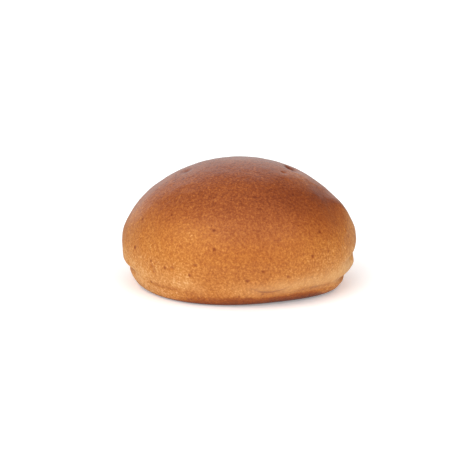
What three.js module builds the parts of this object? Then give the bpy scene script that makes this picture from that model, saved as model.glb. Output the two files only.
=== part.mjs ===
// A round, soft bread roll, baked free on a tray. It is one solid, because its crust is only
// browned dough. Millimetres, +Z up, standing on its flat underside at z = 0, with its best
// side towards -Y. A turn is an angle round the roll from +X, and a fall is an angle down
// from the crown, both in degrees and both seen from the middle of the waist.

import * as THREE from "three";
import { mergeVertices } from "three/addons/utils/BufferGeometryUtils.js";

const { abs, atan2, cos, exp, hypot, max, sin, PI } = Math;
const radians = THREE.MathUtils.degToRad;
const degrees = THREE.MathUtils.radToDeg;

// Driving dimensions of the baked roll
const width = 100;
const depth = 98;
const height = 53;
const waistHeight = 17.7; // the widest level
const sagDepth = 35.8; // how far below the waist the dough would hang with no tray under it
const rimRounding = 2.5; // the height over which the side curves in to the underside

// How lean the curves are: 1 is an ellipse, and more is leaner
const shoulderLeanness = 1;
const crownLeanness = 1.13;
const skirtLeanness = 1.033;

// How the outline seen from above strays from round, as shares of the half width
const outlineWaves = [
  { waves: 2, size: 0.013, turn: -41 },
  { waves: 3, size: 0.011, turn: -52 },
];

// How the foot strays from even, as shares of the sag depth
const footWaves = [
  { waves: 1, size: 0.09, turn: 130 },
  { waves: 2, size: 0.032, turn: -8 },
  { waves: 3, size: 0.085, turn: -4 },
];

// As the roll rose, the crust stretched and slipped over the soft skirt and left creases. A
// crease is a groove under a rounded lip. It runs round the skirt for its reach, in degrees
// each way from its turn, at a level over the tray that slopes by so much for each degree.
const grooveBreadth = 1.4;
const lip = { above: 3.4, breadth: 2.7, rise: 0.2 }; // the rise is a share of the groove's depth
const creaseRipple = [{ waves: 7, size: 0.35, turn: 10 }];
const creaseEndPower = 4; // how suddenly a crease ends: 2 is gentle
const creases = [
  { turn: 4, level: 15.2, slope: 0.05, reach: 32, depth: 1.5 },
  { turn: -4, level: 5.7, slope: -0.03, reach: 30, depth: 2.1 },
  { turn: -174, level: 8.6, slope: 0, reach: 17, depth: 2.3 },
  { turn: -76, level: 7.9, slope: -0.02, reach: 9, depth: 0.5 },
  { turn: -58, level: 5.6, slope: -0.04, reach: 22, depth: 0.5 },
  { turn: 60, level: 12.2, slope: 0.08, reach: 22, depth: 1 },
  { turn: 105, level: 8, slope: -0.07, reach: 22, depth: 1 },
  { turn: 142, level: 13.2, slope: 0.06, reach: 15, depth: 0.8 },
];

// Gentle swellings and hollows of the crust, and the dimples where bubbles in it burst. Each
// fades over its spread, in degrees, from where it is lifted outwards or sunk.
const swellings = {
  rightShoulder: { turn: -10, fall: 60.5, spread: 10, lift: 1.4 },
  rightCheek: { turn: -5, fall: 78, spread: 11, lift: 1.1 },
  rightFold: { turn: -12, fall: 101, spread: 4, lift: 0.65 },
  rightFoot: { turn: -34, fall: 112, spread: 10, lift: 1.1 },
  hollowAboveShoulder: { turn: -14, fall: 46, spread: 9, lift: -0.4 },
  frontLeftCheek: { turn: -128, fall: 96, spread: 20, lift: 0.8 },
  frontOfCrown: { turn: -100, fall: 30, spread: 20, lift: 0.35 },
  backHollow: { turn: 70, fall: 52, spread: 22, lift: -0.8 },
  backShoulder: { turn: 115, fall: 68, spread: 17, lift: 0.8 },
  leftHollow: { turn: 150, fall: 40, spread: 15, lift: -0.5 },
  dimpleByCrown: { turn: 4, fall: 27, spread: 3.4, lift: -1.4 },
  dimpleOnLeft: { turn: -171, fall: 27, spread: 2.5, lift: -0.6 },
  dimpleAtBack: { turn: 96, fall: 38, spread: 3.4, lift: -0.9 },
};

// The mesh has rings from the middle of the underside up to the crown, close together on the
// creased skirt and far apart on the flat underside
const segments = 96;
const ringBands = [
  { from: 180, to: 131, rings: 3 },
  { from: 131, to: 81, rings: 38 },
  { from: 81, to: 0, rings: 18 },
];
const mergeWithin = 1e-5; // how near two points of the globe are one point

// A bell curve: 1 at its middle, and 0.37 one breadth away
function bell(distance, breadth) {
  return exp(-((distance / breadth) ** 2));
}

// The angle from one turn on to another, the shorter way round
function aside(turn, other) {
  return ((((other - turn) % 360) + 540) % 360) - 180;
}

function total(numbers) {
  return numbers.reduce((sum, each) => sum + each, 0);
}

function sumOfWaves(waves, turn) {
  return total(waves.map((wave) => wave.size * cos(radians(wave.waves * (turn - wave.turn)))));
}

// A unit vector from the middle of the waist
function direction(turn, fall) {
  const [around, down] = [radians(turn), radians(fall)];
  return new THREE.Vector3(sin(down) * cos(around), sin(down) * sin(around), cos(down));
}

// How far a crease moves the skirt outwards at a turn and a level over the tray
function creaseRelief({ turn, level, slope, reach, depth }, at, atLevel) {
  const away = aside(turn, at);
  const above = atLevel - level - slope * away - sumOfWaves(creaseRipple, at);
  const strength = depth * exp(-((away / reach) ** creaseEndPower));
  return strength * (lip.rise * bell(above - lip.above, lip.breadth) - bell(above, grooveBreadth));
}

// How far a swelling or dimple lifts the crust in a direction
function swellingRelief({ turn, fall, spread, lift }, towards) {
  return lift * bell(degrees(towards.angleTo(direction(turn, fall))), spread);
}

// The tray presses the dough flat: what would hang below it lies at z = 0, with a round rim
function settle(level) {
  const nearTray = max(rimRounding - abs(level), 0) / rimRounding;
  return max(level, 0) + (nearTray ** 2 * rimRounding) / 4;
}

// The place on the crust in a direction from the middle of the waist
function crustPoint(towards) {
  const turn = degrees(atan2(towards.y, towards.x));
  const out = hypot(towards.x, towards.y);
  const up = abs(towards.z);
  const onCrown = towards.z >= 0;
  const rise = (height - waistHeight) * up ** crownLeanness;
  const sag = sagDepth * (1 + sumOfWaves(footWaves, turn)) * up ** skirtLeanness;
  const level = waistHeight + (onCrown ? rise : -sag);
  const reach = out ** (onCrown ? shoulderLeanness : skirtLeanness) * (1 + sumOfWaves(outlineWaves, turn));
  const crease = total(creases.map((each) => creaseRelief(each, turn, level)));
  const lift = total(Object.values(swellings).map((each) => swellingRelief(each, towards)));
  return new THREE.Vector3(
    cos(radians(turn)) * ((width / 2) * reach + crease) + towards.x * lift,
    sin(radians(turn)) * ((depth / 2) * reach + crease) + towards.y * lift,
    settle(level + max(towards.z, 0) * lift),
  );
}

// A globe of radius 1, with its rings where the roll needs them
function globe() {
  const falls = ringBands.flatMap(({ from, to, rings }) =>
    Array.from({ length: rings }, (_, ring) => from + ((to - from) * ring) / rings),
  );
  const halfCircle = [...falls, 0].map((fall) => new THREE.Vector2(sin(radians(fall)), cos(radians(fall))));
  const lathed = new THREE.LatheGeometry(halfCircle, segments, 0, 2 * PI).rotateX(PI / 2);
  lathed.deleteAttribute("normal");
  lathed.deleteAttribute("uv");
  return mergeVertices(lathed, mergeWithin);
}

// Brings the uneven dough to its driving dimensions, centred over the origin
function fitToSize(geometry) {
  geometry.computeBoundingBox();
  const middle = geometry.boundingBox.getCenter(new THREE.Vector3());
  const size = geometry.boundingBox.getSize(new THREE.Vector3());
  geometry.translate(-middle.x, -middle.y, 0);
  geometry.scale(width / size.x, depth / size.y, height / size.z);
}

function rollGeometry() {
  const geometry = globe();
  const places = geometry.getAttribute("position");
  for (let i = 0; i < places.count; i++) {
    const towards = new THREE.Vector3().fromBufferAttribute(places, i).normalize();
    places.setXYZ(i, ...crustPoint(towards).toArray());
  }
  fitToSize(geometry);
  geometry.computeVertexNormals();
  return geometry;
}

const crust = new THREE.MeshStandardMaterial({ color: 0xb4622e, roughness: 0.42, metalness: 0 });
const roll = new THREE.Mesh(rollGeometry(), crust);
roll.name = "bread_roll";

const group = new THREE.Group();
group.add(roll);

export default group;
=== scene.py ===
"""A round, soft bread roll, baked free on a tray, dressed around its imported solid.

Lengths are in metres. A turn is an angle round the roll from +X, and a fall is an angle
down from the crown, both in degrees and both seen from the middle of the waist. A level is
a height over the tray.
"""

import logging
import math
from dataclasses import dataclass
from enum import Enum
from typing import Any, Callable, Iterable, Mapping, Optional, Sequence, Tuple, Union

import bpy
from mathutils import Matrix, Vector


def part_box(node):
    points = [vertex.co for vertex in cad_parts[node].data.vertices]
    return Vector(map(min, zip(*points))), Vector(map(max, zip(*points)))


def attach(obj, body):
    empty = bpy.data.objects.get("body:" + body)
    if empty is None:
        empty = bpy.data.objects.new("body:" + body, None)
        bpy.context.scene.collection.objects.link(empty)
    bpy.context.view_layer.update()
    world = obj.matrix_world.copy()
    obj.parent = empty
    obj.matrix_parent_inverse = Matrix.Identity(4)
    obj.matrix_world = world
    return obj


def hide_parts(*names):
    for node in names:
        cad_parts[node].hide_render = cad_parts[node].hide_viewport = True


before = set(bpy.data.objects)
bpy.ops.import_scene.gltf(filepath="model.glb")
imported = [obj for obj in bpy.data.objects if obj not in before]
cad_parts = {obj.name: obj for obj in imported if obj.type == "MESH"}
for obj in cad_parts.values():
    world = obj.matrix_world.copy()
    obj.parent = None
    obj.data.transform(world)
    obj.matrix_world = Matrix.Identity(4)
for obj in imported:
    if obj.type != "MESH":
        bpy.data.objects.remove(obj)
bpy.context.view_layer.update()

MM = 0.001
SOLID = "bread_roll"
BODY = "root"

TINY = 1e-6  # keeps a division from failing at 0
QUARTER_TURN = 90.0
HALF_TURN = 180.0
CAMERA_SIDE = -90.0  # the turn that faces the camera
NOISE_MIDDLE = 0.5  # the noise node's middle value
NOISE_GAIN = 3.3  # spreads the noise node's values over about -1 to 1
MARK_END_POWER = 4.0  # how suddenly a crease or a line ends: 2 is gentle
ARC_END_POWER = 8.0  # the same for an arc of the rim

log = logging.getLogger("bread_roll")


class TreeKind(Enum):
    """The two kinds of node tree that the roll is made with."""

    FORM = "GeometryNodeTree"
    FINISH = "ShaderNodeTree"


class SocketKind(Enum):
    """The kinds of value that a node group takes in or gives out."""

    NUMBER = "NodeSocketFloat"
    COUNT = "NodeSocketInt"
    VECTOR = "NodeSocketVector"
    GEOMETRY = "NodeSocketGeometry"
    MATERIAL = "NodeSocketMaterial"


def arithmetic(operation: str, swapped: bool = False) -> Callable[["Field", Any], "Field"]:
    """Makes the method behind one sign of arithmetic.

    Args:
        operation: The Math node's operation.
        swapped: Whether the other value comes first.

    Returns:
        A method that joins a field and another value.
    """

    def method(self: "Field", other: "Value") -> "Field":
        """Joins this field and the other value in a Math node."""
        pair = (other, self) if swapped else (self, other)
        return self.tree.math(operation, *pair)

    return method


class Field:
    """A number that a node tree works out at each place, for use in formulas."""

    def __init__(self, tree: "Tree", socket: bpy.types.NodeSocket) -> None:
        """Keeps the output socket and the tree that it belongs to."""
        self.tree = tree
        self.socket = socket

    __add__ = __radd__ = arithmetic("ADD")
    __sub__ = arithmetic("SUBTRACT")
    __rsub__ = arithmetic("SUBTRACT", swapped=True)
    __mul__ = __rmul__ = arithmetic("MULTIPLY")
    __truediv__ = arithmetic("DIVIDE")
    __pow__ = arithmetic("POWER")

    def __abs__(self) -> "Field":
        """The size of the number without its sign."""
        return self.tree.math("ABSOLUTE", self)

    def at_least(self, lowest: "Value") -> "Field":
        """The number, or the lowest value where that is more."""
        return self.tree.math("MAXIMUM", self, lowest)

    def at_most(self, highest: "Value") -> "Field":
        """The number, or the highest value where that is less."""
        return self.tree.math("MINIMUM", self, highest)

    def cosine(self) -> "Field":
        """The cosine of an angle in degrees."""
        return self.tree.math("COSINE", self.tree.math("RADIANS", self))

    def sine(self) -> "Field":
        """The sine of an angle in degrees."""
        return self.tree.math("SINE", self.tree.math("RADIANS", self))

    def wrapped(self) -> "Field":
        """The same angle, from half a turn back to half a turn on."""
        return self.tree.math("WRAP", self, HALF_TURN, -HALF_TURN)

    def bell(self, power: float = 2.0) -> "Field":
        """1 at 0 and 0.37 one unit away, with steeper sides at a higher power."""
        return self.tree.math("EXPONENT", (abs(self) ** power) * -1)

    def ease(self, start: "Value", end: "Value") -> "Field":
        """Changes smoothly from 0 to 1 between two values of the number.

        Args:
            start: The value up to which it is 0.
            end: The value from which on it is 1.

        Returns:
            The eased number.
        """
        limits = {"Value": self, "From Min": start, "From Max": end}
        made = self.tree.node("ShaderNodeMapRange", limits, interpolation_type="SMOOTHSTEP")
        return Field(self.tree, made.outputs["Result"])

    def between(self, start: "Value", end: "Value") -> "Field":
        """Start where the number is 0, end where it is 1, and in proportion elsewhere."""
        return (end - start) * self + start


Value = Union[Field, float, int]
Input = Union[Field, bpy.types.NodeSocket, float, int, str, tuple, bpy.types.ID]
Pair = Tuple[float, float]
Colour = Tuple[float, float, float]


class Tree:
    """Places and joins the nodes of one tree."""

    def __init__(self, tree: bpy.types.NodeTree) -> None:
        """Keeps the tree that the nodes go into."""
        self.tree = tree

    @classmethod
    def of(cls, owner: Union[bpy.types.Material, bpy.types.World]) -> "Tree":
        """Empties the tree of a material or the world.

        Args:
            owner: The material or world.

        Returns:
            Its tree.
        """
        owner.use_nodes = True
        owner.node_tree.nodes.clear()
        return cls(owner.node_tree)

    def feed(self, socket: bpy.types.NodeSocket, value: Input) -> None:
        """Links a field or an output to an input socket, or sets its plain value.

        Args:
            socket: The input socket.
            value: What it gets.
        """
        if isinstance(value, Field):
            value = value.socket
        if isinstance(value, bpy.types.NodeSocket):
            self.tree.links.new(value, socket)
        else:
            socket.default_value = value

    def node(
        self, kind: str, inputs: Optional[Mapping[Any, Input]] = None, **settings: Any
    ) -> bpy.types.Node:
        """Places one node.

        Args:
            kind: Blender's name for the kind of node.
            inputs: What each input socket gets, by its name or number.
            **settings: The node's own options.

        Returns:
            The node.
        """
        made = self.tree.nodes.new(kind)
        for name, setting in settings.items():
            setattr(made, name, setting)
        for name, value in (inputs or {}).items():
            self.feed(made.inputs[name], value)
        return made

    def math(self, operation: str, *values: Value) -> Field:
        """Works out one step of arithmetic.

        Args:
            operation: The Math node's operation.
            *values: The numbers that it takes, in order.

        Returns:
            The result.
        """
        made = self.node("ShaderNodeMath", dict(enumerate(values)), operation=operation)
        return Field(self, made.outputs[0])

    def group(self, group: bpy.types.NodeTree, inputs: Mapping[str, Input]) -> bpy.types.Node:
        """Places a node group and feeds its named inputs."""
        kind = "GeometryNodeGroup" if group.bl_idname == TreeKind.FORM.value else "ShaderNodeGroup"
        return self.node(kind, inputs, node_tree=group)

    def parts(self, vector: Input) -> Tuple[Field, Field, Field]:
        """The three parts of a vector."""
        made = self.node("ShaderNodeSeparateXYZ", {"Vector": vector})
        return Field(self, made.outputs[0]), Field(self, made.outputs[1]), Field(self, made.outputs[2])

    def vector(self, x: Value, y: Value, z: Value) -> bpy.types.NodeSocket:
        """One vector of three parts."""
        return self.node("ShaderNodeCombineXYZ", {"X": x, "Y": y, "Z": z}).outputs["Vector"]

    def vector_math(self, operation: str, *values: Input) -> bpy.types.Node:
        """The node that works out one step on vectors."""
        return self.node("ShaderNodeVectorMath", dict(enumerate(values)), operation=operation)

    def turn_of(self, place: Input) -> Field:
        """The turn of a place."""
        x, y, _ = self.parts(place)
        return self.math("DEGREES", self.math("ARCTAN2", y, x))

    def blend(self, share: Value, first: Input, second: Input) -> bpy.types.NodeSocket:
        """Mixes two colours.

        Args:
            share: The second colour's share, from 0 to 1.
            first: The first colour.
            second: The second colour.

        Returns:
            The mixed colour.
        """
        made = self.node("ShaderNodeMix", data_type="RGBA")
        sockets = {socket.identifier: socket for socket in (*made.inputs, *made.outputs)}
        self.feed(sockets["Factor_Float"], share)
        self.feed(sockets["A_Color"], first)
        self.feed(sockets["B_Color"], second)
        return sockets["Result_Color"]


def total(fields: Iterable[Field]) -> Field:
    """The sum of several fields."""
    first, *others = fields
    return sum(others, first)


@dataclass(frozen=True)
class Unevenness:
    """Smooth random unevenness, with patches of one width in metres and one strength.

    The seed tells its pattern from others. The detail is how many finer patterns are laid
    over it, and the roughness how strong each of them is beside the one before.
    """

    width: float
    strength: float
    seed: int
    detail: float = 1.0
    roughness: float = 0.5

    def at(self, tree: Tree, place: Input, seed: Value = 0) -> Field:
        """The unevenness at a place, mostly within its strength below and above 0.

        Args:
            tree: The tree that it is worked out in.
            place: The place.
            seed: What is added to the pattern's own seed.

        Returns:
            The unevenness.
        """
        inputs = {
            "Vector": place,
            "W": seed + self.seed,
            "Scale": 1 / self.width,
            "Detail": self.detail,
            "Roughness": self.roughness,
        }
        made = tree.node("ShaderNodeTexNoise", inputs, noise_dimensions="4D")
        return (Field(tree, made.outputs[0]) - NOISE_MIDDLE) * NOISE_GAIN * self.strength


@dataclass(frozen=True)
class Speckle:
    """Round spots strewn at random, each of its own size.

    The spacing is the distance between the places that a spot could take, the share tells
    how many of them have one, and the radius is the largest spot's. The core is the share
    of its radius in which a spot has its full strength.
    """

    spacing: float
    radius: float
    share: float
    seed: int
    core: float = 0.3

    def at(self, tree: Tree, place: Input, seed: Value = 0) -> Field:
        """The spots' strength at a place, 1 in their middles and 0 outside.

        Args:
            tree: The tree that it is worked out in.
            place: The place.
            seed: What is added to the pattern's own seed.

        Returns:
            The strength.
        """
        inputs = {"Vector": place, "W": seed + self.seed, "Scale": 1 / self.spacing}
        made = tree.node("ShaderNodeTexVoronoi", inputs, voronoi_dimensions="4D")
        chance = tree.parts(made.outputs["Color"])[0]
        reach = chance.ease(1 - self.share, 1) * (self.radius / self.spacing)
        return (Field(tree, made.outputs["Distance"]) / (reach + TINY)).ease(1, self.core)


@dataclass
class Group:
    """A node group while it is being written."""

    tree: Tree
    inputs: Mapping[str, Field]
    outputs: bpy.types.Node

    @classmethod
    def new(
        cls,
        name: str,
        kind: TreeKind,
        inputs: Mapping[str, SocketKind],
        outputs: Mapping[str, SocketKind],
    ) -> "Group":
        """Starts a group with named sockets.

        Args:
            name: The group's name.
            kind: Whether it works on form or finish.
            inputs: The kind of each input, by name.
            outputs: The kind of each output, by name.

        Returns:
            The group.
        """
        made = bpy.data.node_groups.new(name, kind.value)
        for way, sockets in (("INPUT", inputs), ("OUTPUT", outputs)):
            for label, socket in sockets.items():
                made.interface.new_socket(label, in_out=way, socket_type=socket.value)
        tree = Tree(made)
        source = tree.node("NodeGroupInput")
        fields = {label: Field(tree, source.outputs[label]) for label in inputs}
        return cls(tree, fields, tree.node("NodeGroupOutput"))

    def give(self, name: str, value: Input) -> None:
        """Gives out a value under an output's name."""
        self.tree.feed(self.outputs.inputs[name], value)


@dataclass(frozen=True)
class Wave:
    """A wave round the roll: so many crests, of one size, with a crest at a turn."""

    crests: int
    size: float
    turn: float

    def at(self, turn: Field) -> Field:
        """The wave's height at a turn."""
        return ((turn - self.turn) * self.crests).cosine() * self.size


def sum_of_waves(waves: Sequence[Wave], turn: Field) -> Field:
    """The height of several waves together at a turn."""
    return total(wave.at(turn) for wave in waves)


def direction(turn: float, fall: float) -> Vector:
    """A unit vector at a turn and a fall."""
    around, down = math.radians(turn), math.radians(fall)
    return Vector((math.sin(down) * math.cos(around), math.sin(down) * math.sin(around), math.cos(down)))


@dataclass(frozen=True)
class Patch:
    """A round patch of the crust, which fades over its spread, in degrees.

    Its amount is how far it is lifted, in metres, where it is part of the form, and how
    much darker it is where it is part of the finish, as browning and as painted light and
    shade. Below 0 it is sunk or paler.
    """

    turn: float
    fall: float
    spread: float
    amount: float

    def at(self, tree: Tree, group: bpy.types.NodeTree, towards: Input) -> Field:
        """The patch's amount in a direction.

        Args:
            tree: The tree that it is worked out in.
            group: The group that works out one patch.
            towards: The direction, from the middle of the waist.

        Returns:
            The amount.
        """
        middle = tuple(direction(self.turn, self.fall))
        inputs = {"Towards": towards, "Middle": middle, "Spread": self.spread, "Amount": self.amount}
        return Field(tree, tree.group(group, inputs).outputs["Amount"])


def patch_group(name: str, kind: TreeKind) -> bpy.types.NodeTree:
    """Writes the group that works out one round patch of the crust.

    Args:
        name: The group's name.
        kind: Whether the patch changes form or finish.

    Returns:
        A group that gives the patch's amount in a direction.
    """
    number, vector = SocketKind.NUMBER, SocketKind.VECTOR
    inputs = {"Towards": vector, "Middle": vector, "Spread": number, "Amount": number}
    group = Group.new(name, kind, inputs, {"Amount": number})
    tree = group.tree
    product = tree.vector_math("DOT_PRODUCT", group.inputs["Towards"], group.inputs["Middle"])
    cosine = Field(tree, product.outputs["Value"]).at_most(1)
    away = tree.math("DEGREES", tree.math("ARCCOSINE", cosine))
    group.give("Amount", (away / group.inputs["Spread"]).bell() * group.inputs["Amount"])
    return tree.tree


@dataclass(frozen=True)
class SkirtMark:
    """A mark that runs round the skirt for its reach, in degrees each way from its turn.

    Its level slopes by so much for each degree.
    """

    turn: float
    level: float
    slope: float
    reach: float

    def at(self, tree: Tree, group: bpy.types.NodeTree, turn: Field, level: Field) -> Field:
        """What the mark does at a place.

        Args:
            tree: The tree that it is worked out in.
            group: The group that works out one mark of its kind.
            turn: The turn of the place.
            level: Its level.

        Returns:
            The group's only output.
        """
        own = {name.title(): value for name, value in vars(self).items()}
        made = tree.group(group, {"At Turn": turn, "At Level": level, **own})
        return Field(tree, made.outputs[0])


@dataclass(frozen=True)
class Crease(SkirtMark):
    """A groove under a rounded lip, where the crust slipped over the skirt."""

    depth: float


@dataclass(frozen=True)
class FineLine(SkirtMark):
    """A fine crease of the skin, too small to be part of the form.

    Its bend lifts it towards its ends, in metres for each degree squared. Its darkness on
    the crust is painted shade in the crease.
    """

    bend: float
    breadth: float
    strength: float


@dataclass(frozen=True)
class CreaseRule:
    """How every crease of the skirt is shaped. The lip's rise is a share of the groove's depth."""

    groove_breadth: float = 1.4 * MM
    lip_above: float = 3.4 * MM
    lip_breadth: float = 2.7 * MM
    lip_rise: float = 0.2
    ripple: Wave = Wave(7, 0.35 * MM, 10)

    def group(self) -> bpy.types.NodeTree:
        """Writes the group that works out one crease.

        Returns:
            A form group that gives how far a crease moves the skirt outwards.
        """
        names = ("At Turn", "At Level", "Turn", "Level", "Slope", "Reach", "Depth")
        number = SocketKind.NUMBER
        group = Group.new("skirt_crease", TreeKind.FORM, dict.fromkeys(names, number), {"Relief": number})
        at_turn, at_level, turn, level, slope, reach, depth = (group.inputs[name] for name in names)
        away = (at_turn - turn).wrapped()
        above = at_level - level - slope * away - self.ripple.at(at_turn)
        lip = ((above - self.lip_above) / self.lip_breadth).bell() * self.lip_rise
        groove = (above / self.groove_breadth).bell()
        group.give("Relief", (away / reach).bell(MARK_END_POWER) * depth * (lip - groove))
        return group.tree.tree


def line_group() -> bpy.types.NodeTree:
    """Writes the group that draws one fine line.

    Returns:
        A finish group that gives the line's strength at a place.
    """
    names = ("At Turn", "At Level", "Turn", "Level", "Slope", "Reach", "Bend", "Breadth", "Strength")
    number = SocketKind.NUMBER
    group = Group.new("crust_line", TreeKind.FINISH, dict.fromkeys(names, number), {"Strength": number})
    at_turn, at_level, turn, level, slope, reach, bend, breadth, strength = (
        group.inputs[name] for name in names
    )
    away = (at_turn - turn).wrapped()
    above = at_level - level - slope * away - bend * away * away
    ends = (away / reach).bell(MARK_END_POWER)
    group.give("Strength", (above / breadth).bell() * ends * strength)
    return group.tree.tree


@dataclass(frozen=True)
class CrustRelief:
    """The small unevenness of the baked surface, whose strengths are heights in metres.

    A pair of levels tells where a change begins and ends.
    """

    lumps: Unevenness = Unevenness(19 * MM, 0.32 * MM, 0)
    dents: Unevenness = Unevenness(6.5 * MM, 0.11 * MM, 1)
    grain: Unevenness = Unevenness(2.2 * MM, 0.045 * MM, 2)
    blisters: Speckle = Speckle(4.5 * MM, 1.5 * MM, 0.35, 11)
    blister_height: float = 0.12 * MM
    streaks: Unevenness = Unevenness(2.6 * MM, 0.1 * MM, 7)
    streak_stretch: float = 0.16
    streaks_below: Pair = (17 * MM, 8.5 * MM)
    settled_above: float = 2.5 * MM

    def at(self, tree: Tree, place: Input, seed: Value) -> Field:
        """How far the relief lifts the surface at a place.

        Args:
            tree: The form tree.
            place: The place on the smooth roll.
            seed: The roll's seed.

        Returns:
            The lift along the surface's normal.
        """
        x, y, z = tree.parts(place)
        even = total(kind.at(tree, place, seed) for kind in (self.lumps, self.dents, self.grain))
        blisters = self.blisters.at(tree, place, seed).ease(0, 1) * self.blister_height
        hanging = tree.vector(x, y, z * self.streak_stretch)
        streaks = self.streaks.at(tree, hanging, seed) * z.ease(*self.streaks_below)
        return (even + blisters + streaks) * z.ease(0, self.settled_above)


@dataclass(frozen=True)
class Dough:
    """The risen and baked dough: its sizes and everything that makes it uneven.

    The sag depth is how far below the waist it would hang with no tray under it, and the
    rim rounding is the height over which the side curves in to the underside. A leanness
    of 1 is an ellipse, and more is leaner. The outline's waves are shares of the half
    width, and the foot's are shares of the sag depth.
    """

    width: float
    depth: float
    height: float
    waist_height: float = 17.7 * MM
    sag_depth: float = 35.8 * MM
    rim_rounding: float = 2.5 * MM
    shoulder_leanness: float = 1.0
    crown_leanness: float = 1.13
    skirt_leanness: float = 1.033
    outline_waves: Tuple[Wave, ...] = (Wave(2, 0.013, -41), Wave(3, 0.011, -52))
    foot_waves: Tuple[Wave, ...] = (Wave(1, 0.09, 130), Wave(2, 0.032, -8), Wave(3, 0.085, -4))
    creases: Tuple[Crease, ...] = (
        Crease(4, 15.2 * MM, 0.05 * MM, 32, 1.5 * MM),
        Crease(-4, 5.7 * MM, -0.03 * MM, 30, 2.1 * MM),
        Crease(-174, 8.6 * MM, 0, 17, 2.3 * MM),
        Crease(-76, 7.9 * MM, -0.02 * MM, 9, 0.5 * MM),
        Crease(-58, 5.6 * MM, -0.04 * MM, 22, 0.5 * MM),
        Crease(60, 12.2 * MM, 0.08 * MM, 22, 1 * MM),
        Crease(105, 8 * MM, -0.07 * MM, 22, 1 * MM),
        Crease(142, 13.2 * MM, 0.06 * MM, 15, 0.8 * MM),
    )
    swellings: Tuple[Patch, ...] = (
        Patch(-10, 60.5, 10, 1.4 * MM),
        Patch(-5, 78, 11, 1.1 * MM),
        Patch(-12, 101, 4, 0.65 * MM),
        Patch(-34, 112, 10, 1.1 * MM),
        Patch(-14, 46, 9, -0.4 * MM),
        Patch(-128, 96, 20, 0.8 * MM),
        Patch(-100, 30, 20, 0.35 * MM),
        Patch(70, 52, 22, -0.8 * MM),
        Patch(115, 68, 17, 0.8 * MM),
        Patch(150, 40, 15, -0.5 * MM),
    )
    dimples: Tuple[Patch, ...] = (
        Patch(4, 27, 3.4, -1.4 * MM),
        Patch(-171, 27, 2.5, -0.6 * MM),
        Patch(96, 38, 3.4, -0.9 * MM),
    )
    pits: Tuple[Patch, ...] = (
        Patch(10, 25.5, 1.8, -0.4 * MM),
        Patch(-3, 28.5, 1.8, -0.4 * MM),
        Patch(-29, 25, 1.3, -0.45 * MM),
        Patch(-137, 94.5, 1.3, -0.5 * MM),
        Patch(-137, 97.5, 1.3, -0.5 * MM),
        Patch(-124, 92.5, 1.2, -0.5 * MM),
        Patch(-112, 88, 1.1, -0.45 * MM),
        Patch(-71, 68, 1.1, -0.25 * MM),
        Patch(48, 60, 1.4, -0.35 * MM),
        Patch(131, 88, 1.5, -0.35 * MM),
        Patch(14, 78, 1.2, -0.3 * MM),
    )


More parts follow.
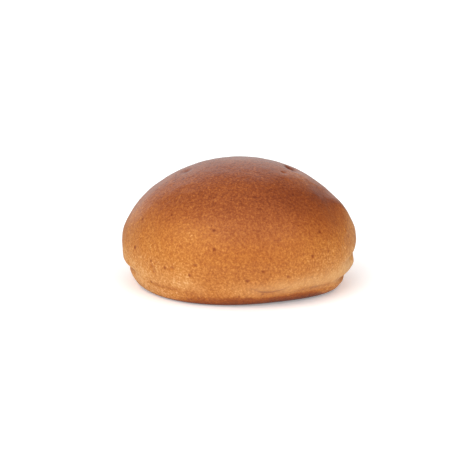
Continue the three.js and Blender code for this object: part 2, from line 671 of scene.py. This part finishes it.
class RollShape:
    """The Geometry Nodes tree that shapes the roll from a globe of directions."""

    SIZES = ("Width", "Depth", "Height", "Waist Height", "Sag Depth", "Rim Rounding")
    DIMPLE_MASK = "dimple"
    GROOVE_MASK = "groove"

    def __init__(self, dough: Dough, relief: CrustRelief) -> None:
        """Starts the tree and its named inputs.

        Args:
            dough: The dough that it shapes.
            relief: The small unevenness of its crust.
        """
        self.dough = dough
        self.relief = relief
        inputs = dict.fromkeys(self.SIZES, SocketKind.NUMBER)
        inputs |= {"Grid Lines": SocketKind.COUNT, "Seed": SocketKind.COUNT, "Crust": SocketKind.MATERIAL}
        self.group = Group.new("roll_shape", TreeKind.FORM, inputs, {"Roll": SocketKind.GEOMETRY})
        self.tree = self.group.tree
        self.width, self.depth, self.height, self.waist, self.sag, self.rounding = (
            self.group.inputs[name] for name in self.SIZES
        )
        self.crease_group = CreaseRule().group()
        self.swelling_group = patch_group("crust_swelling", TreeKind.FORM)

    def place(self) -> bpy.types.NodeSocket:
        """Where the point that is worked on lies."""
        return self.tree.node("GeometryNodeInputPosition").outputs["Position"]

    def move(self, geometry: Input, position: Input) -> bpy.types.NodeSocket:
        """The geometry with its points moved to new positions."""
        moved = self.tree.node("GeometryNodeSetPosition", {"Geometry": geometry, "Position": position})
        return moved.outputs["Geometry"]

    def globe(self) -> bpy.types.NodeSocket:
        """A cube of even squares blown up to a globe of radius 1.

        Returns:
            The globe's geometry.
        """
        lines = self.group.inputs["Grid Lines"]
        inputs = {"Size": (2, 2, 2), "Vertices X": lines, "Vertices Y": lines, "Vertices Z": lines}
        cube = self.tree.node("GeometryNodeMeshCube", inputs)
        spread = (self.tree.math("TANGENT", part * (math.pi / 4)) for part in self.tree.parts(self.place()))
        towards = self.tree.vector_math("NORMALIZE", self.tree.vector(*spread))
        return self.move(cube.outputs["Mesh"], towards.outputs["Vector"])

    def lift(self, patches: Sequence[Patch]) -> Field:
        """How far swellings, dimples or pits lift the crust in the direction of a point of the globe."""
        towards = self.place()
        return total(patch.at(self.tree, self.swelling_group, towards) for patch in patches)

    def creased(self, turn: Field, level: Field) -> Field:
        """How far all the creases move the skirt outwards at a turn and a level."""
        creases = self.dough.creases
        return total(crease.at(self.tree, self.crease_group, turn, level) for crease in creases)

    def level(self, turn: Field) -> Field:
        """The level of a point of the globe, before the tray presses it flat.

        Args:
            turn: The turn of the point.

        Returns:
            The level, which is below 0 where the dough would hang under the tray.
        """
        dough = self.dough
        z = self.tree.parts(self.place())[2]
        on_crown = self.tree.math("GREATER_THAN", z, 0)
        rise = (self.height - self.waist) * abs(z) ** dough.crown_leanness
        sag = self.sag * (sum_of_waves(dough.foot_waves, turn) + 1) * abs(z) ** dough.skirt_leanness
        return self.waist - sag + (rise + sag) * on_crown

    def settle(self, level: Field) -> Field:
        """Presses what would hang below the tray flat on it, with a round rim."""
        near_tray = (self.rounding - abs(level)).at_least(0) / self.rounding
        return level.at_least(0) + near_tray * near_tray * self.rounding / 4

    def risen(self, globe: Input) -> bpy.types.NodeSocket:
        """Moves each point of the globe to its place on the crust.

        Args:
            globe: The globe's geometry.

        Returns:
            The roll's geometry.
        """
        tree, dough = self.tree, self.dough
        place = self.place()
        x, y, z = tree.parts(place)
        turn = tree.turn_of(place)
        level = self.level(turn)
        out = tree.math("SQRT", x * x + y * y)
        on_crown = tree.math("GREATER_THAN", z, 0)
        leanness = on_crown.between(dough.skirt_leanness, dough.shoulder_leanness)
        reach = out**leanness * (sum_of_waves(dough.outline_waves, turn) + 1)
        crease = self.creased(turn, level)
        lift = self.lift(dough.swellings + dough.dimples + dough.pits)
        return self.move(globe, tree.vector(
            turn.cosine() * (self.width / 2 * reach + crease) + x * lift,
            turn.sine() * (self.depth / 2 * reach + crease) + y * lift,
            self.settle(level + z.at_least(0) * lift),
        ))

    def baked(self, roll: Input) -> bpy.types.NodeSocket:
        """Adds the crust's relief along the surface's normals.

        Args:
            roll: The smooth roll's geometry.

        Returns:
            The uneven roll's geometry.
        """
        tree = self.tree
        lift = self.relief.at(tree, self.place(), self.group.inputs["Seed"])
        normal = tree.node("GeometryNodeInputNormal").outputs["Normal"]
        offset = tree.node("ShaderNodeVectorMath", {0: normal, "Scale": lift}, operation="SCALE")
        inputs = {"Geometry": roll, "Offset": offset.outputs["Vector"]}
        return tree.node("GeometryNodeSetPosition", inputs).outputs["Geometry"]

    def fitted(self, roll: Input) -> bpy.types.NodeSocket:
        """Brings the roll to its driving dimensions, centred over the origin.

        Args:
            roll: The roll's geometry.

        Returns:
            The roll at its size.
        """
        tree = self.tree
        box = tree.node("GeometryNodeBoundBox", {"Geometry": roll})
        (low_x, low_y, low_z), (high_x, high_y, high_z) = (
            tree.parts(box.outputs[corner]) for corner in ("Min", "Max")
        )
        x, y, z = tree.parts(self.place())
        return self.move(roll, tree.vector(
            (x - (low_x + high_x) / 2) * self.width / (high_x - low_x),
            (y - (low_y + high_y) / 2) * self.depth / (high_y - low_y),
            (z - low_z) * self.height / (high_z - low_z),
        ))

    def marked(self, geometry: Input, name: str, value: Field) -> bpy.types.NodeSocket:
        """Keeps a value at each point of a geometry, for the material.

        Args:
            geometry: The geometry.
            name: The value's name.
            value: The value.

        Returns:
            The geometry with the value.
        """
        inputs = {"Geometry": geometry, "Name": name, "Value": value}
        made = self.tree.node("GeometryNodeStoreNamedAttribute", inputs, data_type="FLOAT", domain="POINT")
        return made.outputs["Geometry"]

    def write(self) -> bpy.types.NodeTree:
        """Writes the whole tree. The masks are depths in millimetres.

        Returns:
            The tree, for a modifier.
        """
        tree = self.tree
        # The dimples' and pits' depth, which the material darkens as browning and painted shade.
        sunk = self.lift(self.dough.dimples + self.dough.pits) / -MM
        globe = self.marked(self.globe(), self.DIMPLE_MASK, sunk)
        turn = tree.turn_of(self.place())
        # The grooves' depth, which the material turns into painted shade.
        grooves = (self.creased(turn, self.level(turn)) / -MM).at_least(0)
        globe = self.marked(globe, self.GROOVE_MASK, grooves)
        roll = self.fitted(self.baked(self.risen(globe)))
        smooth = tree.node("GeometryNodeSetShadeSmooth", {"Geometry": roll})
        whole = tree.node("GeometryNodeRealizeInstances", {"Geometry": smooth.outputs["Geometry"]})
        inputs = {"Geometry": whole.outputs["Geometry"], "Material": self.group.inputs["Crust"]}
        self.group.give("Roll", tree.node("GeometryNodeSetMaterial", inputs).outputs["Geometry"])
        return tree.tree


@dataclass(frozen=True)
class Belt:
    """The pale belt low on the side, where the crust stretched last and hardly browned.

    It fades at its gaps, which are turns. Its stretch below 1 makes its unevenness hang down,
    its calm is how much of the mottle and the spots it lacks, and its dough is the colour
    that shows through it.
    """

    level: float = 9.8 * MM
    breadth: float = 3.8 * MM
    level_waves: Tuple[Wave, ...] = (Wave(2, 1.6 * MM, 0), Wave(5, 0.5 * MM, -65))
    wander: Unevenness = Unevenness(9 * MM, 1.3 * MM, 31)
    strength: float = 0.2
    strength_waves: Tuple[Wave, ...] = (Wave(1, 0.42, -32),)
    unevenness: Unevenness = Unevenness(5 * MM, 0.12, 37, detail=2)
    stretch: float = 0.4
    gaps: Tuple[float, ...] = (-98, 82)
    gap_breadth: float = 14
    gap_strength: float = 0.3
    paleness: float = 0.85
    calm: float = 0.6
    dough: Colour = (0.74, 0.45, 0.21)
    dough_share: float = 0.6

    def at(self, tree: Tree, place: Input, turn: Field, level: Field) -> Field:
        """How strong the belt is at a place, from 0 to 1.

        Args:
            tree: The material's tree.
            place: The place.
            turn: Its turn.
            level: Its level.

        Returns:
            The belt's strength.
        """
        middle = sum_of_waves(self.level_waves, turn) + self.level + self.wander.at(tree, place)
        strength = sum_of_waves(self.strength_waves, turn) + self.strength
        for gap in self.gaps:
            strength -= ((turn - gap) / self.gap_breadth).bell() * self.gap_strength
        x, y, z = tree.parts(place)
        strength += self.unevenness.at(tree, tree.vector(x, y, z * self.stretch))
        return (((level - middle) / self.breadth).bell() * strength.at_least(0)).at_most(1)


@dataclass(frozen=True)
class Arc:
    """A stretch of the foot: its middle and how far it reaches each way, in degrees."""

    turn: float
    reach: float

    def at(self, turn: Field) -> Field:
        """1 along the stretch and 0 past its soft ends."""
        return ((turn - self.turn).wrapped() / self.reach).bell(ARC_END_POWER)


@dataclass(frozen=True)
class Rim:
    """The rim at the foot, which browned on the hot tray and is taller along its arcs."""

    lowest: float = 0.8 * MM
    rise: float = 3.9 * MM
    arcs: Tuple[Arc, ...] = (Arc(-80, 43), Arc(98, 66))
    blend: float = 1.5 * MM
    waves: Tuple[Wave, ...] = (Wave(11, 0.3 * MM, -58), Wave(17, 0.2 * MM, -71))
    wander: Unevenness = Unevenness(3.5 * MM, 0.5 * MM, 83, detail=2)
    strength: float = 0.68
    strength_waves: Tuple[Wave, ...] = (Wave(2, 0.32, -55),)
    top_browning: float = 0.42
    foot_browning: float = 0.72
    # The lowest edge is darker: a browner underside edge, and painted contact shade where the foot meets the
    # tray.
    edge_top: float = 1.3 * MM
    edge_browning: float = 0.45

    def over(self, tree: Tree, browned: Field, place: Input, turn: Field, level: Field) -> Field:
        """Browns the rim.

        Args:
            tree: The material's tree.
            browned: How brown the crust is without the rim, painted light and shade included.
            place: The place.
            turn: Its turn.
            level: Its level.

        Returns:
            How brown the crust is with the rim, painted light and shade included.
        """
        top = total(arc.at(turn) for arc in self.arcs) * self.rise + self.lowest
        top += sum_of_waves(self.waves, turn) + self.wander.at(tree, place)
        strength = sum_of_waves(self.strength_waves, turn) + self.strength
        rim = level.ease(top + self.blend / 2, top - self.blend / 2) * strength
        browning = level.ease(top, 0).between(self.top_browning, self.foot_browning)
        # Browning and painted contact shade along the lowest edge.
        edge = level.ease(self.edge_top, 0) * self.edge_browning
        return rim.between(browned, browning) + edge


@dataclass(frozen=True)
class Spots:
    """The strengths of the tiny blisters, the pores, the fine lines and the belt at a place."""

    specks: Field
    pores: Field
    lines: Field
    belt: Field


@dataclass(frozen=True)
class BakedCrust:
    """The browned, glazed crust.

    Its shades go from pale dough at a browning of 0 to the darkest brown at 1. A pair of
    shares or of glazes is for low on the roll and for its top, and a pair of levels tells
    where a change begins and ends. Painted light and shade are added to the browning in
    some patches, in the grooves, dimples and fine lines, and at the foot's edge.
    """

    name: str = "baked_crust"
    shades: Tuple[Tuple[float, Colour], ...] = (
        (0, (0.77, 0.41, 0.16)),
        (0.05, (0.7, 0.32, 0.084)),
        (0.13, (0.6, 0.226, 0.043)),
        (0.22, (0.51, 0.17, 0.029)),
        (0.32, (0.42, 0.12, 0.021)),
        (0.44, (0.33, 0.08, 0.013)),
        (0.56, (0.265, 0.058, 0.009)),
        (0.72, (0.195, 0.035, 0.005)),
        (1, (0.114, 0.018, 0.004)),
    )
    browning_by_fall: Tuple[Pair, ...] = (
        (0, 0.58),
        (18, 0.6),
        (27, 0.56),
        (36, 0.52),
        (43, 0.51),
        (48, 0.49),
        (56, 0.43),
        (62, 0.38),
        (68, 0.34),
        (80, 0.3),
        (92, 0.26),
        (104, 0.23),
        (120, 0.22),
        (150, 0.4),
        (180, 0.44),
    )
    # Patches that darken or pale the crust's colour. Some are its browning. Others are painted light and
    # shade: the paler right side and left foot where more light falls, a painted highlight on the crown's
    # right, and painted shade above the right shoulder.
    regions: Tuple[Patch, ...] = (
        Patch(-127, 80, 26, -0.09),
        Patch(-140, 106, 24, -0.05),
        Patch(-170, 98, 18, -0.13),
        Patch(-150, 110, 17, -0.1),
        Patch(-30, 60, 18, 0.09),
        Patch(-52, 42, 18, 0.12),
        Patch(-23, 51, 10, 0.14),
        Patch(-16, 33, 12, -0.16),
        Patch(-8, 73, 12, -0.18),
        Patch(-14, 90, 10, -0.06),
        Patch(-23, 76, 10, -0.08),
        Patch(-28, 58, 7, -0.08),
        Patch(-90, 70, 8, 0.05),
        Patch(-117, 69, 9, -0.07),
        Patch(-114, 91, 6, -0.05),
        Patch(-36, 79, 9, -0.04),
        Patch(-117, 102, 6, -0.07),
        Patch(-115, 109, 4, 0.12),
        Patch(-93, 108, 6, -0.07),
        Patch(-64, 84, 12, -0.03),
        Patch(-66, 98, 7, -0.05),
        Patch(-173, 70, 18, -0.07),
        Patch(-45, 90, 16, -0.09),
        Patch(-22, 100, 14, -0.2),
        Patch(52, 76, 26, -0.11),
        Patch(108, 50, 22, 0.09),
        Patch(145, 92, 20, -0.06),
        Patch(28, 62, 16, 0.06),
    )
    clouds: Tuple[Unevenness, ...] = (
        Unevenness(14 * MM, 0.025, 41),
        Unevenness(6 * MM, 0.022, 42),
        Unevenness(2.8 * MM, 0.02, 43),
    )
    streaks: Unevenness = Unevenness(1.4 * MM, 0.045, 53)
    streak_stretch: float = 0.25
    streaks_below: Pair = (22 * MM, 10 * MM)
    belt: Belt = Belt()
    rim: Rim = Rim()
    rim_softness: float = 1 * MM
    spotted_above: Pair = (30 * MM, 48 * MM)
    mottle: Unevenness = Unevenness(1 * MM, 0.225, 47, roughness=1.0)
    mottle_shares: Pair = (0.85, 1.4)
    specks: Speckle = Speckle(2.4 * MM, 0.95 * MM, 0.7, 91)
    speck_shares: Pair = (0.3, 0.7)
    speck_browning: float = -0.2
    speck_bump: float = 0.5
    speck_roughness: float = -0.05
    pores: Speckle = Speckle(3.3 * MM, 1.2 * MM, 0.75, 97)
    pore_browning: float = 0.3
    pore_bump: float = -0.7
    lines: Tuple[FineLine, ...] = (
        FineLine(-75, 7.1 * MM, 0, 8, 0.025 * MM, 0.45 * MM, 1),
        FineLine(-46, 6.9 * MM, -0.02 * MM, 9, 0.004 * MM, 0.5 * MM, 0.5),
        FineLine(-132, 6.8 * MM, -0.02 * MM, 10, 0, 0.9 * MM, 0.5),
        FineLine(44, 8.2 * MM, -0.05 * MM, 9, 0.01 * MM, 0.45 * MM, 0.8),
        FineLine(84, 6.6 * MM, 0.03 * MM, 11, 0.01 * MM, 0.5 * MM, 1),
        FineLine(150, 7.5 * MM, 0.04 * MM, 8, -0.01 * MM, 0.5 * MM, 0.8),
    )
    # Painted shade along the fine creases.
    line_browning: float = 0.3
    line_bump: float = -0.8
    # Painted shade in the grooves of the creases, for each millimetre of depth.
    groove_browning: float = 0.03
    # Dimples and pits are browner and carry painted shade in their hollows, for each millimetre of depth.
    dimple_browning: float = 0.3
    roughness: float = 0.45
    reflectivity: float = 0.2
    glaze: Pair = (0.1, 0.75)
    glazed_above: Pair = (10 * MM, 34 * MM)
    glaze_roughness: float = 0.27
    grain: Unevenness = Unevenness(3 * MM, 1.0, 61, detail=4, roughness=0.8)
    bump_height: float = 0.14 * MM

    def curve(self, tree: Tree, fall: Field) -> Field:
        """How brown the crust is by its fall from the crown alone.

        Args:
            tree: The material's tree.
            fall: The place's fall.

        Returns:
            The browning.
        """
        made = tree.node("ShaderNodeFloatCurve", {"Value": fall / HALF_TURN})
        points = made.mapping.curves[0].points
        stops = [(degrees / HALF_TURN, browned) for degrees, browned in self.browning_by_fall]
        for stop in stops[1:-1]:
            points.new(*stop)
        for point, stop in zip(points, stops):
            point.location = stop
        made.mapping.update()
        return Field(tree, made.outputs["Value"])

    def shade(self, tree: Tree, browned: Field) -> bpy.types.NodeSocket:
        """The crust's colour by how brown it is.

        Args:
            tree: The material's tree.
            browned: The browning, painted light and shade included.

        Returns:
            The colour.
        """
        ramp = tree.node("ShaderNodeValToRGB", {"Fac": browned})
        elements = ramp.color_ramp.elements
        for position, _ in self.shades[1:-1]:
            elements.new(position)
        for element, (position, colour) in zip(elements, self.shades):
            element.position = position
            element.color = (*colour, 1)
        return ramp.outputs["Color"]

    def kept(self, tree: Tree, name: str) -> Field:
        """A value that the form keeps at each point of the roll."""
        return Field(tree, tree.node("ShaderNodeAttribute", attribute_name=name).outputs["Fac"])

    def spots(self, tree: Tree, place: Input) -> Spots:
        """What lies on the crust at a place.

        Args:
            tree: The material's tree.
            place: The place.

        Returns:
            The strength of each kind of spot.
        """
        turn = tree.turn_of(place)
        level = tree.parts(place)[2]
        group = line_group()
        return Spots(
            specks=self.specks.at(tree, place),
            pores=self.pores.at(tree, place),
            lines=total(line.at(tree, group, turn, level) for line in self.lines),
            belt=self.belt.at(tree, place, turn, level),
        )

    def browning(self, tree: Tree, dough: Dough, place: Input, spots: Spots) -> Field:
        """How brown the crust is at a place, from 0 for pale dough to 1.

        Args:
            tree: The material's tree.
            dough: The dough, for its sizes.
            place: The place.
            spots: The spots there.

        Returns:
            The browning, with painted light and shade added.
        """
        x, y, z = tree.parts(place)
        up = (z - dough.waist_height) / (dough.height - dough.waist_height)
        side = tree.vector(x / (dough.width / 2), y / (dough.depth / 2), up)
        towards = tree.vector_math("NORMALIZE", side).outputs["Vector"]
        fall = tree.math("DEGREES", tree.math("ARCCOSINE", tree.parts(towards)[2]))
        group = patch_group("crust_browning_and_light", TreeKind.FINISH)
        # The patches add browning and painted light and shade.
        browned = self.curve(tree, fall) + total(region.at(tree, group, towards) for region in self.regions)
        browned *= 1 - spots.belt * self.belt.paleness
        browned = self.rim.over(tree, browned, place, tree.turn_of(place), z)
        browned += total(cloud.at(tree, place) for cloud in self.clouds)
        high = z.ease(*self.spotted_above)
        mottle = self.mottle.at(tree, place) * high.between(*self.mottle_shares)
        pale = spots.specks * self.speck_browning * high.between(*self.speck_shares)
        dark = spots.pores * self.pore_browning
        browned += (mottle + pale + dark) * (1 - spots.belt * self.belt.calm)
        hanging = tree.vector(x, y, z * self.streak_stretch)
        browned += self.streaks.at(tree, hanging) * z.ease(*self.streaks_below)
        # Painted shade in the fine creases.
        browned += spots.lines * self.line_browning
        # Painted shade in the creases' grooves.
        browned += self.kept(tree, RollShape.GROOVE_MASK) * self.groove_browning
        # Browning and painted shade in the dimples and pits.
        return browned + self.kept(tree, RollShape.DIMPLE_MASK) * self.dimple_browning

    def material(self, dough: Dough) -> bpy.types.Material:
        """Makes the material.

        Args:
            dough: The dough, for its sizes.

        Returns:
            The material.
        """
        made = bpy.data.materials.new(self.name)
        tree = Tree.of(made)
        place = tree.node("ShaderNodeTexCoord").outputs["Object"]
        z = tree.parts(place)[2]
        spots = self.spots(tree, place)
        browned = self.browning(tree, dough, place, spots)
        rim_top = self.rim.lowest + self.rim.rise
        above_rim = z.ease(rim_top - self.rim_softness, rim_top + self.rim_softness)
        share = spots.belt * self.belt.dough_share * above_rim
        grain = self.grain.at(tree, place) + spots.specks * self.speck_bump
        grain += spots.pores * self.pore_bump + spots.lines * self.line_bump
        bump = tree.node("ShaderNodeBump", {"Height": grain, "Distance": self.bump_height})
        shader = tree.node("ShaderNodeBsdfPrincipled", {
            "Base Color": tree.blend(share, self.shade(tree, browned), (*self.belt.dough, 1)),
            "Roughness": spots.specks * self.speck_roughness + self.roughness,
            "Specular IOR Level": self.reflectivity,
            "Coat Weight": z.ease(*self.glazed_above).between(*self.glaze),
            "Coat Roughness": self.glaze_roughness,
            "Normal": bump.outputs["Normal"],
        })
        tree.node("ShaderNodeOutputMaterial", {"Surface": shader.outputs["BSDF"]})
        return made


def add_object(name: str, data: bpy.types.ID) -> bpy.types.Object:
    """Puts an object in the scene.

    Args:
        name: Its name.
        data: Its mesh, lamp or camera.

    Returns:
        The object.
    """
    made = bpy.data.objects.new(name, data)
    bpy.context.scene.collection.objects.link(made)
    return made


def aim(thing: bpy.types.Object, ahead: Vector) -> None:
    """Turns a lamp or a camera so that it points ahead."""
    thing.rotation_mode = "QUATERNION"
    thing.rotation_quaternion = ahead.to_track_quat("-Z", "Y")


@dataclass
class BreadRoll:
    """The roll: one piece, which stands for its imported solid."""

    dough: Dough
    relief: CrustRelief
    crust: BakedCrust
    grid_lines: int = 129
    seed: int = 3

    def build(self) -> bpy.types.Object:
        """Shapes the roll and makes it a plain mesh.

        Returns:
            The roll's object, at the origin.
        """
        shape = RollShape(self.dough, self.relief).write()
        start = add_object("dough", bpy.data.meshes.new("dough"))
        modifier = start.modifiers.new("shape", "NODES")
        modifier.node_group = shape
        values = {
            "Width": self.dough.width,
            "Depth": self.dough.depth,
            "Height": self.dough.height,
            "Waist Height": self.dough.waist_height,
            "Sag Depth": self.dough.sag_depth,
            "Rim Rounding": self.dough.rim_rounding,
            "Grid Lines": self.grid_lines,
            "Seed": self.seed,
            "Crust": self.crust.material(self.dough),
        }
        for item in shape.interface.items_tree:
            if item.in_out == "INPUT":
                modifier[item.identifier] = values[item.name]
        evaluated = start.evaluated_get(bpy.context.evaluated_depsgraph_get())
        mesh = bpy.data.meshes.new_from_object(evaluated)
        bpy.data.objects.remove(start)
        mesh.materials.pop(index=0)  # the globe's own slot, which is empty
        mesh.name = "roll_crust"
        return add_object("roll_crust", mesh)

    def dress(self) -> None:
        """Puts the roll in the frame in place of its solid."""
        roll = self.build()
        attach(roll, BODY)
        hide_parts(SOLID)
        log.info("%s: %d faces", roll.name, len(roll.data.polygons))


@dataclass(frozen=True)
class SoftLight:
    """A broad light that shines on the roll from a bearing and an elevation.

    The bearing is in degrees from the camera's side, positive to the right, and the spread
    is how broad the light looks from the roll, in degrees.
    """

    name: str
    bearing: float
    elevation: float
    spread: float
    strength: float

    def build(self) -> None:
        """Hangs the light, which doesn't show in the gloss."""
        away = direction(CAMERA_SIDE + self.bearing, QUARTER_TURN - self.elevation)
        data = bpy.data.lights.new(self.name, "SUN")
        data.angle = math.radians(self.spread)
        data.energy = self.strength * math.pi
        lamp = add_object(self.name, data)
        lamp.location = away
        lamp.visible_glossy = False
        aim(lamp, -away)


@dataclass(frozen=True)
class Studio:
    """The pale floor, the soft light and the camera round the roll.

    The walls and the ceiling give the gloss and a soft fill light, and turn into each
    other between two elevations. The back wall has its full light within the first
    angle of its spread, and none past the second.
    """

    floor_radius: float = 4.0
    floor_segments: int = 96
    floor_shade: float = 0.9
    floor_mottle: Unevenness = Unevenness(0.4, 0.01, 71)
    floor_roughness: float = 0.9
    floor_glow: float = 0.25
    back_light: float = 0.8
    back_bearing: float = 190.0
    back_spread: Pair = (18.0, 36.0)
    left_light: float = 0.2
    right_light: float = 0.1
    walls_to: float = 38.0
    ceiling_from: float = 66.0
    ceiling_light: float = 0.14
    ground_light: float = 0.3
    ground_below: float = -0.05
    camera_elevation: float = 14.0
    camera_distance: float = 0.7
    camera_lens: float = 131.1
    camera_aim: Tuple[float, float, float] = (-5.92 * MM, 0.0, 24.11 * MM)
    lights: Tuple[SoftLight, ...] = (
        SoftLight("overhead", 0, 80, 80, 0.52),
        SoftLight("front_left", -45, 35, 60, 0.49),
        SoftLight("front_right", 50, 25, 60, 0.34),
    )

    def floor(self) -> None:
        """Lays the floor."""
        count = self.floor_segments
        turns = (2 * math.pi * number / count for number in range(count))
        edge = [(self.floor_radius * math.cos(turn), self.floor_radius * math.sin(turn), 0) for turn in turns]
        mesh = bpy.data.meshes.new("studio_floor")
        mesh.from_pydata(edge, [], [range(count)])
        mesh.materials.append(self.floor_finish())
        floor = add_object("studio_floor", mesh)
        floor.visible_glossy = False

    def floor_finish(self) -> bpy.types.Material:
        """Makes the floor's pale material.

        Returns:
            The material.
        """
        made = bpy.data.materials.new("studio_floor")
        tree = Tree.of(made)
        place = tree.node("ShaderNodeTexCoord").outputs["Object"]
        shade = self.floor_mottle.at(tree, place) + self.floor_shade
        colour = tree.node("ShaderNodeCombineColor", {"Red": shade, "Green": shade, "Blue": shade})
        shader = tree.node("ShaderNodeBsdfPrincipled", {
            "Base Color": colour.outputs["Color"],
            "Roughness": self.floor_roughness,
            "Specular IOR Level": 0.0,
            "Emission Color": (1, 1, 1, 1),
            "Emission Strength": self.floor_glow,
        })
        tree.node("ShaderNodeOutputMaterial", {"Surface": shader.outputs["BSDF"]})
        return made

    def surround(self) -> None:
        """Puts walls and a ceiling far round the roll, which the camera sees as plain white."""
        world = bpy.data.worlds.new("studio_surround")
        tree = Tree.of(world)
        x, y, z = tree.parts(tree.node("ShaderNodeTexCoord").outputs["Generated"])
        level = tree.math("SQRT", x * x + y * y) + TINY
        back = math.radians(self.back_bearing)
        aligned = (x * math.sin(back) - y * math.cos(back)) / level
        whole, none = (math.cos(math.radians(angle)) for angle in self.back_spread)
        side = (x / level).ease(-1, 1).between(self.left_light, self.right_light)
        wall = aligned.ease(none, whole).between(side, self.back_light)
        ceiling = z.ease(*(math.sin(math.radians(angle)) for angle in (self.walls_to, self.ceiling_from)))
        light = ceiling.between(wall, self.ceiling_light)
        light = z.ease(0, self.ground_below).between(light, self.ground_light)
        seen = Field(tree, tree.node("ShaderNodeLightPath").outputs["Is Camera Ray"])
        inputs = {"Color": (1, 1, 1, 1), "Strength": seen.between(light, 1)}
        background = tree.node("ShaderNodeBackground", inputs)
        tree.node("ShaderNodeOutputWorld", {"Surface": background.outputs["Background"]})
        bpy.context.scene.world = world

    def camera(self) -> None:
        """Sets the camera at the photograph's viewing angle."""
        back = direction(CAMERA_SIDE, QUARTER_TURN - self.camera_elevation)
        data = bpy.data.cameras.new("camera")
        data.lens = self.camera_lens
        camera = add_object("camera", data)
        camera.location = Vector(self.camera_aim) + back * self.camera_distance
        aim(camera, -back)
        bpy.context.scene.camera = camera

    def build(self) -> None:
        """Builds the floor, the light and the camera."""
        self.floor()
        self.surround()
        for light in self.lights:
            light.build()
        self.camera()
        bpy.context.scene.view_settings.view_transform = "Standard"
        log.info("studio: %d lamps", len(self.lights))


def main() -> None:
    """Builds the roll and the studio round it."""
    logging.basicConfig(level=logging.INFO, format="%(name)s: %(message)s")
    low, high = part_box(SOLID)
    dough = Dough(width=high[0] - low[0], depth=high[1] - low[1], height=high[2] - low[2])
    Studio().build()
    BreadRoll(dough, CrustRelief(), BakedCrust()).dress()


if __name__ == "__main__":
    main()
